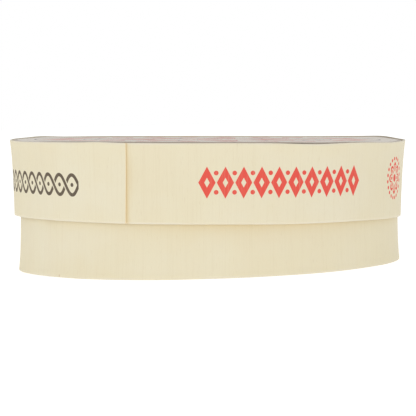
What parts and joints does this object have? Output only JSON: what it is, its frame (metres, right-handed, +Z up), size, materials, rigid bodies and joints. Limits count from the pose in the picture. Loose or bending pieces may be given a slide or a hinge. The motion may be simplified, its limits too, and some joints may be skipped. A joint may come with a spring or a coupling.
{
  "type": "camembert in a round wooden box",
  "caption": "Round box rolled from thin poplar veneer, closed by a flared veneer lid, with a soft white-rind cheese in paper inside.",
  "frame": {"origin": "middle of the box on the surface that it stands on", "axes": "+Z up through the lid, -Y the side that shows the lid's seam, +X the side on which the lid sits lower"},
  "size_m": [0.115, 0.115, 0.0379],
  "materials": {
    "veneer": "bare sliced poplar veneer",
    "disc": "bare thin poplar board",
    "label": "smooth printed paper, silvery grey",
    "paper": "waxed white wrapping paper",
    "rind": "white bloomy cheese rind"
  },
  "bodies": {
    "root": {"lid_band": "veneer", "lid_disc": "disc", "lid_label": "label", "base_band": "veneer", "base_disc": "disc", "wrapper": "paper", "cheese": "rind"}
  },
  "joints": []
}
